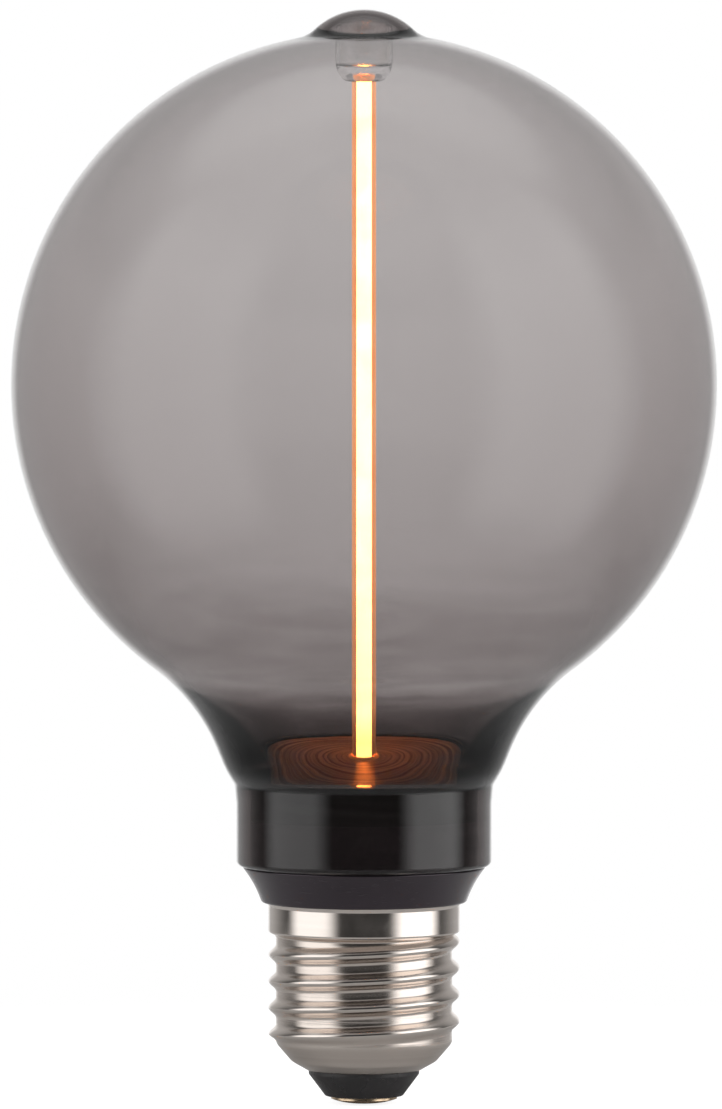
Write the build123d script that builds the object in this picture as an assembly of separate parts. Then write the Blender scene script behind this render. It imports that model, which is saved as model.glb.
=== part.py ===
from build123d import *
import os
from math import cos, radians, sin, sqrt, tan

# A globe light bulb with a screw cap, in millimetres.
# +Z runs up the bulb's axis, and the origin is the tip of the centre contact.

# Centre contact
CONTACT_D = 9.0
CONTACT_H = 1.0
CONTACT_EDGE_H = 0.4  # upright edge round the contact
CONTACT_FLAT_D = 2.4
SHANK_D = 2.4
SHANK_STAND = 1.0  # how far the shank stands above the insulator's flange

# Cap insulator
INSULATOR_H = 3.5  # nose below the shell
INSULATOR_TIP_D = 10.6
INSULATOR_TOP_D = 15.1
INSULATOR_EDGE_H = 0.5  # upright edge at the top of the nose
INSULATOR_ROUND = 0.25
INSULATOR_NECK_D = 13.2
INSULATOR_FLANGE_D = 14.6
INSULATOR_FLANGE_H = 1.2

# Screw shell, an E27 cap of rolled sheet
SHEET = 0.35
SHELL_H = 22.95
SHELL_FLAT_D = 15.4
SHELL_HEEL_D = 19.8
SHELL_HEEL_H = 1.25
SHELL_CONE_H = 3.7
SHELL_CORNER_R = 0.6
SHELL_HEEL_R = 2.0
CREST_D = 26.06
ROOT_D = 24.0
PITCH = 3.629
RIDGE_W = 2.1
FLANK_ANGLE = 35.0
THREAD_START_H = 3.1  # middle of the ridge's lower end above the shell's bottom
BAND_D = 26.12
BAND_H = 3.5
BAND_CHAMFER = 0.5
LIP_OUT = 0.22
LIP_H = 0.5

# Base housing
SKIRT_H = 4.85
SKIRT_BOTTOM_D = 27.9
SKIRT_TOP_D = 33.2
SKIRT_HOLLOW = 0.25  # how far the skirt's side curves in
SKIRT_BOTTOM_ROUND = 0.5
SKIRT_TOP_ROUND = 0.125
SPIGOT_H = 6.6
HOUSING_WALL = 1.3
BOSS_RISE = 0.6  # foot of the boss above the shell's cone

# Glass globe
GLOBE_D = 96.0
GLOBE_WALL = 0.8
GLOBE_SIT = 0.567  # middle of the globe above the neck, as a share of the globe's diameter
HOLLOW_LIFT = 0.3  # middle of the hollow above the globe's, so that the wall thickens downwards
NECK_D = 34.8
NECK_WALL = 1.8
NECK_H = 11.2
NECK_FILLET = 1.5
NECK_FLARE = 0.22  # how far the top of the neck opens out
NECK_FLARE_H = 2.6
NECK_FLARE_ROUND = 8.0
RIM_R = 0.8
BULGE_R = 20.0  # outward curve between the neck and the shoulder
BULGE_LEAN = 33.0  # degrees from the axis at the foot of the bulge
SHOULDER_LEAN = 22.0  # degrees from the axis
FLARE_R = 26.0
STOP_D = 29.0  # bore through the thick foot of the globe, which stops the cup
STOP_H = 0.4
STOP_ROUND = 0.15
HOLLOW_LEAN = 36.0  # degrees from the axis at the foot of the hollow
HOLLOW_FLARE_R = 65.0
TIP_R = 9.8
TIP_RISE = 3.0  # top of the dome above the globe
TIP_WALL = 1.2
TIP_FILLET = 4.5
TIP_HOLLOW_R = 8.6

# Light line and the cup that holds its top
TIP_CUP_D = 7.8
TIP_CUP_H = 7.7
TIP_CUP_WALL = 0.6
TIP_CUP_NOSE_H = 3.0
TIP_CUP_LIP = 0.3
SOCKET_DEPTH = 1.5
TUBE_D = 3.3
TUBE_BORE = 2.2
CORE_D = 2.08
SEAT_D = 4.3
SEAT_H = 0.3
SEAT_ROUND = 0.1

# Turned disc and heat sink cup
DISC_D = 28.6
DISC_T = 0.8
DISC_SINK = 0.15  # depth of the disc's face below the cup's rim
DISC_ROUND = 0.2
CUP_H = 5.8
CUP_FLOOR = 1.2
CUP_ROUND = 0.35
LEDGE_W = 1.2

# Light source
LED_BOARD_D = 22.0
LED_BOARD_T = 1.0
LED_CHIP_W = 3.0
LED_CHIP_T = 0.5
PIN_D = 0.8
PIN_SPACING = 9.0
PIN_STAND = 0.4  # how far a pin stands above the light source board
PIN_HOLE_D = 2.0  # insulated way through the cup's floor

# Driver
BOARD_T = 1.0
BOARD_H = 24.0
BOARD_RISE = 0.7  # foot of the board above the foot of the boss
CAPACITOR_D = 6.3
CAPACITOR_H = 10.0
CAPACITOR_CRIMP = 0.3
CAPACITOR_CRIMP_H = 1.7
CHOKE_D = 6.4
CHOKE_WAIST_D = 5.0
CHOKE_H = 6.5
CHOKE_FLANGE = 1.0
RECTIFIER_SIZE = (4.7, 1.6, 4.0)
CHIP_SIZE = (4.9, 1.5, 3.9)
RESISTOR_D = 2.4
RESISTOR_WAIST_D = 2.0
RESISTOR_L = 6.5
RESISTOR_END_L = 1.3
CHIP_EDGE = 0.25
PART_SPACING = 1.2  # between parts on one face of the board
LEAD_D = 0.9

# Clearances
CLOSE_FIT = 0.05  # radial, between pieces pressed or pushed together
BOSS_CLEARANCE = 0.1  # radial, between the boss and the shell
GLASS_CLEARANCE = 0.15  # radial, between the glass neck and what it covers
GLUE_LINE = 0.1  # between glued faces
LIGHT_GAP = 0.1  # between the light source and the tube

# Levels along the axis
shell_z = CONTACT_H + INSULATOR_H
flange_z = shell_z + SHEET
shank_top = flange_z + INSULATOR_FLANGE_H + SHANK_STAND
cone_top = shell_z + SHELL_CONE_H
shell_top = shell_z + SHELL_H
lip_z = shell_top - LIP_H
band_z = lip_z - BAND_H
boss_z = cone_top + BOSS_RISE
board_z = boss_z + BOARD_RISE
board_top = board_z + BOARD_H
rim_z = shell_top + SKIRT_H
neck_top = rim_z + NECK_H
globe_z = neck_top + GLOBE_SIT * GLOBE_D
apex_z = globe_z + GLOBE_D / 2 + TIP_RISE
hollow_top = apex_z - TIP_WALL
cup_z = rim_z + SPIGOT_H
cup_top = cup_z + CUP_H
stop_z = cup_top + GLUE_LINE
disc_top = cup_top - DISC_SINK
ledge_z = disc_top - DISC_T
led_board_z = cup_z + CUP_FLOOR
led_board_top = led_board_z + LED_BOARD_T
tube_z = led_board_top + LED_CHIP_T + LIGHT_GAP

# Radii that several pieces share
crest_r = CREST_D / 2
root_r = ROOT_D / 2
band_r = BAND_D / 2
boss_r = root_r - SHEET - BOSS_CLEARANCE
bore_r = boss_r - HOUSING_WALL
core_r = NECK_D / 2 - NECK_WALL - GLASS_CLEARANCE
tube_hole_r = TUBE_D / 2 + CLOSE_FIT
tip_cup_top = hollow_top - TIP_HOLLOW_R + sqrt(TIP_HOLLOW_R**2 - (TIP_CUP_D / 2) ** 2) - GLUE_LINE
tip_cup_z = tip_cup_top - TIP_CUP_H
neutral_z = shell_z + THREAD_START_H + PITCH  # a groove of the shell, on the side away from its lower end

BOTTOM = (Align.CENTER, Align.CENTER, Align.MIN)


def turned(*edges):
    """Solid of revolution of a closed outline drawn as radius and height."""
    return revolve(Plane.XZ * make_face(edges), Axis.Z)


def turned_points(*points, radius=0):
    """Solid of revolution of a polygon, with one rounding radius or one for each corner."""
    return turned(*FilletPolyline(*points, radius=radius, close=True).edges())


def rounded(face, corner, radius):
    """The face with one corner rounded."""
    return fillet(face.vertices().sort_by_distance((*corner, 0))[0], radius)


def arc_about(centre, start, end):
    """The short arc from start to end round a centre."""
    radius = (start - centre).length
    return ThreePointArc(start, centre + (start + end - 2 * centre).normalized() * radius, end)


def bulb_side(foot, lean, flare_r, globe_r, middle, tip_r, top):
    """Edges up one side of the bulb, each tangent to the next: shoulder, flare, globe and domed tip."""
    along = Vector(sin(radians(lean)), cos(radians(lean)))
    out = Vector(along.Y, -along.X)
    distance = (foot - middle).dot(out) + flare_r
    flare = middle + out * distance - along * sqrt((globe_r + flare_r) ** 2 - distance**2)
    tip = top - Vector(0, tip_r)
    span = tip.Y - middle.Y
    rise = ((globe_r + TIP_FILLET) ** 2 - (tip_r + TIP_FILLET) ** 2 + span**2) / (2 * span)
    hollow = middle + Vector(sqrt((globe_r + TIP_FILLET) ** 2 - rise**2), rise)
    flare_foot = flare - out * flare_r
    globe_foot = middle + (flare - middle).normalized() * globe_r
    globe_top = middle + (hollow - middle).normalized() * globe_r
    tip_foot = tip + (hollow - tip).normalized() * tip_r
    return [
        Line(foot, flare_foot),
        arc_about(flare, flare_foot, globe_foot),
        arc_about(middle, globe_foot, globe_top),
        arc_about(hollow, globe_top, tip_foot),
        arc_about(tip, tip_foot, top),
    ]


def glass_globe():
    foot_z = rim_z + GLUE_LINE
    neck_r = NECK_D / 2
    bore_r = neck_r - NECK_WALL
    globe_r = GLOBE_D / 2
    middle = Vector(0, globe_z)
    apex = Vector(0, apex_z)
    hollow_apex = Vector(0, hollow_top)
    bend = Vector(neck_r, neck_top - NECK_FLARE_H)
    corner = Vector(neck_r + NECK_FLARE, neck_top)
    low_lean = radians(BULGE_LEAN)
    high_lean = radians(SHOULDER_LEAN)
    bulge = corner - Vector(cos(low_lean), -sin(low_lean)) * BULGE_R
    shoulder = bulge + Vector(cos(high_lean), -sin(high_lean)) * BULGE_R
    stop = Vector(STOP_D / 2, stop_z + STOP_H)
    hollow_r = globe_r - GLOBE_WALL
    hollow_middle = middle + Vector(0, HOLLOW_LIFT)
    edges = [
        *Polyline((bore_r, foot_z), (neck_r, foot_z), bend, corner).edges(),
        arc_about(bulge, corner, shoulder),
        *bulb_side(shoulder, SHOULDER_LEAN, FLARE_R, globe_r, middle, TIP_R, apex),
        Line(apex, hollow_apex),
        *bulb_side(stop, HOLLOW_LEAN, HOLLOW_FLARE_R, hollow_r, hollow_middle, TIP_HOLLOW_R, hollow_apex),
        *Polyline(stop, (STOP_D / 2, stop_z), (bore_r, stop_z), (bore_r, foot_z)).edges(),
    ]
    face = make_face(edges)
    face = rounded(face, (neck_r, foot_z), RIM_R)
    face = rounded(face, (bore_r, foot_z), RIM_R)
    face = rounded(face, (bend.X, bend.Y), NECK_FLARE_ROUND)
    face = rounded(face, (corner.X, corner.Y), NECK_FILLET)
    face = rounded(face, (STOP_D / 2, stop_z), STOP_ROUND)
    return revolve(Plane.XZ * face, Axis.Z)


def tip_cup():
    cup_r = TIP_CUP_D / 2
    mouth_r = tube_hole_r + TIP_CUP_LIP
    shoulder_z = tip_cup_z + TIP_CUP_NOSE_H
    floor_z = tip_cup_z + SOCKET_DEPTH + TIP_CUP_WALL
    nose = EllipticalCenterArc((mouth_r, shoulder_z), cup_r - mouth_r, TIP_CUP_NOSE_H, 270, arc_size=90)
    outline = [
        Line((0, tip_cup_z), (mouth_r, tip_cup_z)),
        nose,
        Polyline((cup_r, shoulder_z), (cup_r, tip_cup_top), (0, tip_cup_top), (0, tip_cup_z)),
    ]
    body = turned(*[edge for line in outline for edge in line.edges()])
    inner_r = cup_r - TIP_CUP_WALL
    corner = (inner_r, floor_z)
    hollow = turned_points(
        (0, floor_z), corner, (inner_r, tip_cup_top), (0, tip_cup_top), radius=[0, TIP_CUP_WALL, 0, 0]
    )
    socket = Pos(0, 0, tip_cup_z) * Cylinder(tube_hole_r, SOCKET_DEPTH, align=BOTTOM)
    return body - hollow - socket


def light_tube():
    length = tip_cup_z + SOCKET_DEPTH - GLUE_LINE - tube_z
    tube = Cylinder(TUBE_D / 2, length, align=BOTTOM) - Cylinder(TUBE_BORE / 2, length, align=BOTTOM)
    return Pos(0, 0, tube_z) * tube


def glow_core():
    return Pos(0, 0, tube_z) * Cylinder(CORE_D / 2, tip_cup_z - tube_z, align=BOTTOM)


def tube_seat():
    ring = turned_points(
        (tube_hole_r, disc_top),
        (SEAT_D / 2, disc_top),
        (SEAT_D / 2, disc_top + SEAT_H),
        (tube_hole_r, disc_top + SEAT_H),
        radius=[0, 0, SEAT_ROUND, 0],
    )
    return ring


def turned_disc():
    return turned_points(
        (tube_hole_r, ledge_z),
        (DISC_D / 2, ledge_z),
        (DISC_D / 2, disc_top),
        (tube_hole_r, disc_top),
        radius=[0, 0, DISC_ROUND, 0],
    )


def heat_sink_cup():
    recess_r = DISC_D / 2 + CLOSE_FIT
    well_r = recess_r - LEDGE_W
    cup = turned_points(
        (0, cup_z),
        (core_r, cup_z),
        (core_r, cup_top),
        (recess_r, cup_top),
        (recess_r, ledge_z),
        (well_r, ledge_z),
        (well_r, led_board_z),
        (0, led_board_z),
        radius=[0, 0, CUP_ROUND, 0, 0, 0, 0, 0],
    )
    way = Pos(0, 0, cup_z) * Cylinder(PIN_HOLE_D / 2, CUP_FLOOR, align=BOTTOM)
    for place in pin_places():
        cup -= place * way
    return cup


def pin_places():
    return [Pos(side * PIN_SPACING / 2, 0, 0) for side in (-1, 1)]


def led_board():
    board = Pos(0, 0, led_board_z) * Cylinder(LED_BOARD_D / 2, LED_BOARD_T, align=BOTTOM)
    hole = Pos(0, 0, led_board_z) * Cylinder(PIN_D / 2 + CLOSE_FIT, LED_BOARD_T, align=BOTTOM)
    for place in pin_places():
        board -= place * hole
    return board


def led_chip():
    return Pos(0, 0, led_board_top) * Box(LED_CHIP_W, LED_CHIP_W, LED_CHIP_T, align=BOTTOM)


def led_pins():
    length = led_board_top + PIN_STAND - board_top
    pin = Pos(0, 0, board_top) * Cylinder(PIN_D / 2, length, align=BOTTOM)
    return Compound([place * pin for place in pin_places()])


def base_housing():
    skirt_low = (SKIRT_BOTTOM_D / 2, shell_top)
    skirt_high = (SKIRT_TOP_D / 2, rim_z)
    bell_r = core_r - HOUSING_WALL
    bell_z = rim_z + GLUE_LINE
    lines = [
        Polyline((bore_r, boss_z), (boss_r, boss_z), (boss_r, shell_top), skirt_low),
        SagittaArc(skirt_low, skirt_high, SKIRT_HOLLOW),
        Polyline(skirt_high, (core_r, rim_z), (core_r, cup_z), (bell_r, cup_z), (bell_r, bell_z)),
        Polyline((bell_r, bell_z), (bore_r, bell_z - (bell_r - bore_r)), (bore_r, boss_z)),
    ]
    face = make_face([edge for line in lines for edge in line.edges()])
    face = rounded(face, skirt_low, SKIRT_BOTTOM_ROUND)
    face = rounded(face, skirt_high, SKIRT_TOP_ROUND)
    housing = revolve(Plane.XZ * face, Axis.Z)
    way = Pos(0, 0, neutral_z) * Rot(0, -90, 0) * Cylinder(LEAD_D / 2 + CLOSE_FIT, 2 * boss_r, align=BOTTOM)
    return housing - way


def thread_ridge(inset):
    """The rolled ridge of the shell, run out into the cone below and hidden in the band above."""
    spread = tan(radians(FLANK_ANGLE))
    lean = radians(FLANK_ANGLE)
    height = crest_r - root_r
    round_r = (RIDGE_W / 2 - height * spread) / (cos(lean) - (1 - sin(lean)) * spread)
    top_r = crest_r - inset
    centre_r = top_r - round_r
    tangent_r = centre_r + round_r * sin(lean)
    tangent_h = round_r * cos(lean)
    base_r = root_r - inset - SHEET / 2
    base_h = tangent_h + (tangent_r - base_r) * spread
    lines = [
        Line((base_r, -base_h), (tangent_r, -tangent_h)),
        ThreePointArc((tangent_r, -tangent_h), (top_r, 0), (tangent_r, tangent_h)),
        Polyline((tangent_r, tangent_h), (base_r, base_h), (base_r, -base_h)),
    ]
    section = make_face([edge for line in lines for edge in line.edges()])
    start_z = shell_z + THREAD_START_H
    path = Helix(PITCH, lip_z - start_z, root_r - inset)
    ridge = Pos(0, 0, start_z) * sweep(Plane.XZ * section, path, is_frenet=True)
    low_r = root_r - inset
    reach = 2 * height
    end_z = band_z + BAND_H / 2
    envelope = turned_points(
        (0, cone_top),
        (low_r, cone_top),
        (low_r + reach, cone_top + reach),
        (low_r + reach, end_z),
        (0, end_z),
    )
    return ridge & envelope


def shell_form(inset, top_z):
    """The shell as a filled body, drawn in by one inset all over."""
    foot_z = shell_z + inset
    flat_r = SHELL_FLAT_D / 2 - inset / 2
    heel = (SHELL_HEEL_D / 2 - inset, shell_z + SHELL_HEEL_H + inset / 2)
    low_r = root_r - inset
    high_r = band_r - inset
    lip_r = high_r + LIP_OUT * (top_z - lip_z) / LIP_H
    core = turned_points(
        (0, foot_z),
        (flat_r, foot_z),
        heel,
        (low_r, cone_top),
        (low_r, lip_z),
        (0, lip_z),
        radius=[0, SHELL_CORNER_R - inset, SHELL_HEEL_R - inset, 0, 0, 0],
    )
    sunk_r = low_r - SHEET / 2  # the band's lower slope runs on into the core
    sunk_z = band_z - BAND_CHAMFER * (high_r - sunk_r) / (high_r - low_r)
    band = turned_points(
        (0, sunk_z),
        (sunk_r, sunk_z),
        (high_r, band_z),
        (high_r, lip_z),
        (lip_r, top_z),
        (0, top_z),
    )
    return core + thread_ridge(inset) + band


def screw_shell():
    shell = shell_form(0, shell_top) - shell_form(SHEET, shell_top + SHEET)
    hole_r = INSULATOR_NECK_D / 2 + CLOSE_FIT
    return shell - Pos(0, 0, shell_z) * Cylinder(hole_r, SHEET, align=BOTTOM)


def cap_insulator():
    hole_r = SHANK_D / 2 + CLOSE_FIT
    top_z = flange_z + INSULATOR_FLANGE_H
    return turned_points(
        (hole_r, CONTACT_H),
        (INSULATOR_TIP_D / 2, CONTACT_H),
        (INSULATOR_TOP_D / 2, shell_z - INSULATOR_EDGE_H),
        (INSULATOR_TOP_D / 2, shell_z),
        (INSULATOR_NECK_D / 2, shell_z),
        (INSULATOR_NECK_D / 2, flange_z),
        (INSULATOR_FLANGE_D / 2, flange_z),
        (INSULATOR_FLANGE_D / 2, top_z),
        (hole_r, top_z),
        radius=[0, INSULATOR_ROUND, INSULATOR_ROUND, 0, 0, 0, 0, 0, 0],
    )


def centre_contact():
    flat_r = CONTACT_FLAT_D / 2
    edge_r = CONTACT_D / 2
    shank_r = SHANK_D / 2
    dome_edge = (edge_r, CONTACT_H - CONTACT_EDGE_H)
    lines = [
        Line((0, 0), (flat_r, 0)),
        TangentArc((flat_r, 0), dome_edge, tangent=(1, 0)),
        Polyline(dome_edge, (edge_r, CONTACT_H), (shank_r, CONTACT_H)),
        Polyline((shank_r, CONTACT_H), (shank_r, shank_top), (0, shank_top), (0, 0)),
    ]
    return turned(*[edge for line in lines for edge in line.edges()])


def driver_board():
    width = 2 * (sqrt(bore_r**2 - (BOARD_T / 2) ** 2) - CLOSE_FIT)
    return Pos(0, 0, board_z) * Box(width, BOARD_T, BOARD_H, align=BOTTOM)


def smoothing_capacitor():
    can_r = CAPACITOR_D / 2
    crimp_z = CAPACITOR_CRIMP_H
    can = turned_points(
        (0, 0),
        (can_r, 0),
        (can_r, crimp_z),
        (can_r - CAPACITOR_CRIMP, crimp_z + CAPACITOR_CRIMP),
        (can_r, crimp_z + 2 * CAPACITOR_CRIMP),
        (can_r, CAPACITOR_H),
        (0, CAPACITOR_H),
        radius=[0, CAPACITOR_CRIMP, 0, 0, 0, CAPACITOR_CRIMP, 0],
    )
    return Pos(0, BOARD_T / 2 + CLOSE_FIT + can_r, board_z + PART_SPACING) * can


def driver_chip():
    low_z = board_z + 2 * PART_SPACING + CAPACITOR_H
    return Pos(0, BOARD_T / 2, low_z) * moulded_chip(*CHIP_SIZE)


def bridge_rectifier():
    return Pos(0, -BOARD_T / 2, board_z + PART_SPACING) * Rot(0, 0, 180) * moulded_chip(*RECTIFIER_SIZE)


def moulded_chip(width, depth, height):
    """A moulded chip that stands on the face y = 0 and reaches out along +Y."""
    body = Box(width, depth, height, align=(Align.CENTER, Align.MIN, Align.MIN))
    return chamfer(body.faces().sort_by(Axis.Y)[-1].edges(), CHIP_EDGE)


def fuse_resistor():
    end_r = RESISTOR_D / 2
    waist_r = RESISTOR_WAIST_D / 2
    end_l = RESISTOR_END_L
    low_z = board_z + 2 * PART_SPACING + RECTIFIER_SIZE[2]
    body = turned_points(
        (0, 0),
        (end_r, 0),
        (end_r, end_l),
        (waist_r, end_l),
        (waist_r, RESISTOR_L - end_l),
        (end_r, RESISTOR_L - end_l),
        (end_r, RESISTOR_L),
        (0, RESISTOR_L),
    )
    across = Rot(0, 90, 0) * Pos(0, 0, -RESISTOR_L / 2) * body
    return Pos(0, -BOARD_T / 2 - CLOSE_FIT - end_r, low_z + end_r) * across


def choke_coil():
    outer_r = CHOKE_D / 2
    waist_r = CHOKE_WAIST_D / 2
    low_z = board_z + 3 * PART_SPACING + RECTIFIER_SIZE[2] + RESISTOR_D
    drum = turned_points(
        (0, 0),
        (outer_r, 0),
        (outer_r, CHOKE_FLANGE),
        (waist_r, CHOKE_FLANGE),
        (waist_r, CHOKE_H - CHOKE_FLANGE),
        (outer_r, CHOKE_H - CHOKE_FLANGE),
        (outer_r, CHOKE_H),
        (0, CHOKE_H),
    )
    return Pos(0, -BOARD_T / 2, low_z + outer_r) * Rot(90, 0, 0) * drum


def live_lead():
    return Pos(0, 0, shank_top) * Cylinder(LEAD_D / 2, board_z - shank_top, align=BOTTOM)


def neutral_lead():
    board_edge = sqrt(bore_r**2 - (BOARD_T / 2) ** 2) - CLOSE_FIT
    reach = root_r - SHEET - CLOSE_FIT - board_edge
    return Pos(-board_edge, 0, neutral_z) * Rot(0, -90, 0) * Cylinder(LEAD_D / 2, reach, align=BOTTOM)


PIECES = [
    glass_globe,
    tip_cup,
    light_tube,
    glow_core,
    tube_seat,
    turned_disc,
    heat_sink_cup,
    led_board,
    led_chip,
    led_pins,
    base_housing,
    screw_shell,
    cap_insulator,
    centre_contact,
    driver_board,
    smoothing_capacitor,
    driver_chip,
    bridge_rectifier,
    fuse_resistor,
    choke_coil,
    live_lead,
    neutral_lead,
]

os.makedirs("parts", exist_ok=True)
for piece in PIECES:
    export_step(piece(), f"parts/{piece.__name__}.step")
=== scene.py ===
from math import atan2, cos, pi, radians, sin, sqrt, tan

import bpy
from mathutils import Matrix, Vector


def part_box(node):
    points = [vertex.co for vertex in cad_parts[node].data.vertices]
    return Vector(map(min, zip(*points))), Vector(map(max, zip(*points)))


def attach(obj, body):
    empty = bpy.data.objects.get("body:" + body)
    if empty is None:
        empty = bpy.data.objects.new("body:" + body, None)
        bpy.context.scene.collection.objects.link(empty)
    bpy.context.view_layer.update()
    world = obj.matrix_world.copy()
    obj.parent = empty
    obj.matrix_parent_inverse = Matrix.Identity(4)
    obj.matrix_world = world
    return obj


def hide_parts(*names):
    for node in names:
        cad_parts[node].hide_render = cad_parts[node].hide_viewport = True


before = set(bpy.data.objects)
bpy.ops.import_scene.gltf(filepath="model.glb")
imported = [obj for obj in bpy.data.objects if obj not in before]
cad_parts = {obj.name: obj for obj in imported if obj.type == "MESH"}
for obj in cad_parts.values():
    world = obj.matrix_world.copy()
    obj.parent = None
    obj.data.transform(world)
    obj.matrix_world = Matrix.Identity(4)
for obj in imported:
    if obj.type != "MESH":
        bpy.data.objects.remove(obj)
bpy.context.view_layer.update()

# A globe light bulb with a screw cap: smoke glass, one glowing line on the axis, a dark base and a nickel
# shell. Sizes are in millimetres and angles in degrees unless a note says otherwise. Every mesh is scaled to
# metres when it is made, and sizes inside finishes and lamps are in metres.

MM = 0.001

# Mesh steps round the axis
ROUND_STEPS = 160
SMALL_STEPS = 96
TUBE_STEPS = 64
CORE_STEPS = 48
DRILL_STEPS = 32
THREAD_STEPS = 216

# Mesh steps along an outline
CORNER_STEPS = 6
NECK_STEPS = 8
FLARE_STEPS = 28
GLOBE_STEPS = 110
TIP_ROUND_STEPS = 8
TIP_STEPS = 20
NOSE_STEPS = 12
TUBE_END_STEPS = 4
SKIRT_STEPS = 10
CONTACT_STEPS = 12

ON_AXIS = 1e-6  # an outline's point nearer the axis than this becomes one point of the mesh

# Edges that turn further than this stay sharp
SHARP_TURN = 30.0
DISC_SHARP_TURN = 60.0
SHELL_SHARP_TURN = 50.0

# Smoke glass
GLOBE_WALL = 0.8
HOLLOW_LIFT = 0.3  # middle of the hollow above the globe's, so that the wall thickens downwards
NECK_WALL = 1.8
NECK_RISE = 11.2  # top of the neck above the housing
NECK_ROUND = 1.5
NECK_FLARE = 0.22  # how far the top of the neck opens out
NECK_FLARE_H = 2.6
NECK_FLARE_ROUND = 8.0
RIM_ROUND = 0.8
BULGE_R = 20.0  # outward curve between the neck and the shoulder
BULGE_LEAN = 33.0  # from the axis, at the foot of the bulge
SHOULDER_LEAN = 22.0  # from the axis
FLARE_R = 26.0
STOP_R = 14.5  # bore through the thick foot of the globe, which stops the cup
STOP_H = 0.4
STOP_ROUND = 0.15
HOLLOW_LEAN = 36.0  # from the axis, at the foot of the hollow
HOLLOW_FLARE_R = 65.0
TIP_R = 9.8
TIP_RISE = 3.0  # top of the dome above the globe
TIP_WALL = 1.2
TIP_HOLLOW_R = 8.6
TIP_ROUND = 4.5

# Light line and the cup that holds its top
TIP_CUP_WALL = 0.6
TIP_CUP_NOSE = 3.0
SOCKET_DEPTH = 1.5
TUBE_BORE_R = 1.1
TUBE_END_ROUND = 0.15
SOCKET_R = 1.7
FIRE_POLISH = 0.2  # rounding of the clear glass edges
SEAT_OUTER_SHARE = 1 / 3  # roundings of the tube's seat, as shares of its height
SEAT_INNER_SHARE = 1 / 5

# Turned disc and heat sink cup
RECESS_R = 14.35
LEDGE_W = 1.2
CUP_FLOOR = 1.2
CUP_EDGE_ROUND = 0.35
GROOVE_PITCH = 0.55
GROOVE_DEPTH = 0.06
GROOVE_MARGIN = 0.5  # plain land at the inner and outer edges
GROOVE_RINGS = 8  # mesh rings in one groove
FACE_DEPTH = 0.001  # points no lower than this under the top belong to the face
DISC_EDGE_SHARE = 1 / 4  # rounding of the edge, as a share of the disc's thickness
PIN_SPACING = 9.0
PIN_WAY_R = 1.0

# Base housing
SKIRT_LOW_R = 13.95
SKIRT_HIGH_R = 16.6
SKIRT_HOLLOW = 0.25  # how far the skirt's side curves in
SKIRT_LOW_ROUND = 0.5
SKIRT_HIGH_ROUND = 0.125
BOSS_R = 11.55
HOUSING_WALL = 1.3
LEAD_WAY_R = 0.5

# Screw shell
SHEET = 0.35
SHELL_HOLE_R = 6.65
SHELL_FLAT_R = 7.7
SHELL_FLAT_ROUND = 0.6
SHELL_HEEL_R = 9.9
SHELL_HEEL_RISE = 1.25
SHELL_HEEL_ROUND = 2.0
SHELL_CONE_RISE = 3.7
SHELL_CONE_ROUND = 1.2
ROOT_R = 12.0
CREST_R = 13.03
BAND_R = 13.06
BAND_H = 3.5
BAND_STEP = 0.5
BAND_STEP_ROUND = 0.35
LIP_H = 0.5
LIP_ROUND = 0.2
THREAD_PITCH = 3.629
THREAD_START = 3.1  # ridge's lower end above the shell's bottom
RIDGE_W = 2.8
RUN_IN = 1.3  # height over which the ridge grows out of the cone
SHELL_RING_GAP = 0.14  # between the mesh rings that carry the ridge
CREST_WEAR = 0.35  # depth from the crest over which the plating is rubbed bright

# Cap insulator and centre contact
SHANK_R = 1.2
SHANK_ROUND = 0.2
CONTACT_FLAT_R = 1.2
CONTACT_EDGE_H = 0.4
CONTACT_ROUND = 0.1
INSULATOR_TIP_R = 5.3
INSULATOR_TIP_ROUND = 0.3
INSULATOR_TOP_R = 7.55
INSULATOR_NECK_R = 6.6
INSULATOR_FLANGE_R = 7.3
INSULATOR_EDGE_H = 0.5
INSULATOR_EDGE_ROUND = 0.25

# Clearances
CLOSE_FIT = 0.05
GLASS_CLEARANCE = 0.15
GLUE_LINE = 0.1

# Grain and marks: noise values between which each comes in, and proportions
GRAIN_NOISE = (0.3, 0.7)
MOTTLE_NOISE = (0.35, 0.65)
MOTTLE_SPREAD = 18.0  # width of the mottling against the grain's
SMUDGE_NOISE = (0.42, 0.68)
SCRATCH_NOISE = (0.66, 0.74)
SCRATCH_FINENESS = 6.0  # how much finer scratches are than smudges
SCRATCH_TILT = (0.3, 0.5, 0.2)  # in radians
SCRATCH_STRETCH = (1.0, 1.0, 14.0)
SHADE_NOISE = (0.3, 0.7)
SHADE_SPREAD = 7.0  # width of the shaded rings against the fine ones
ROUGH_SPREAD = 0.06  # how far a grain takes the roughness up and down

# Smoke in the glass
SMOKE = (0.097, 0.009, 0.0, 1.0)
SMOKE_DENSITY = 565.0  # in a metre
SWIRL_LEVELS = (48.0, 80.0)  # heights between which the swirls fade out
SWIRL_FINENESS = 150.0  # in a metre
SWIRL_STRETCH = (0.2, 0.2, 1.0)
SWIRL_LEAST = 0.35  # share of the swirls' tint between them
GLOSS_LEVELS = (44.0, 46.0)  # heights between which the neck's gloss ends

# Camera and floor
CAMERA_DISTANCE = 1500.0
CAMERA_HEIGHT = 150.0
SENSOR_H = 24.0
CLIP_START = 50.0
PHOTO_HEIGHT_PX = 1109
PHOTO_MM_PER_PX = 0.13608
PHOTO_MIDDLE = (-0.41, 74.85)  # what the middle of the picture shows: across and up
FLOOR_R = 160.0
FLOOR_LEVEL = -0.1
FLOOR_FADE = 0.3  # share of the floor's reach that stays whole
FLOOR_GREY = 0.55
FLOOR_GLOW = 0.85  # what the eye sees of the floor beyond its own colour

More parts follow.
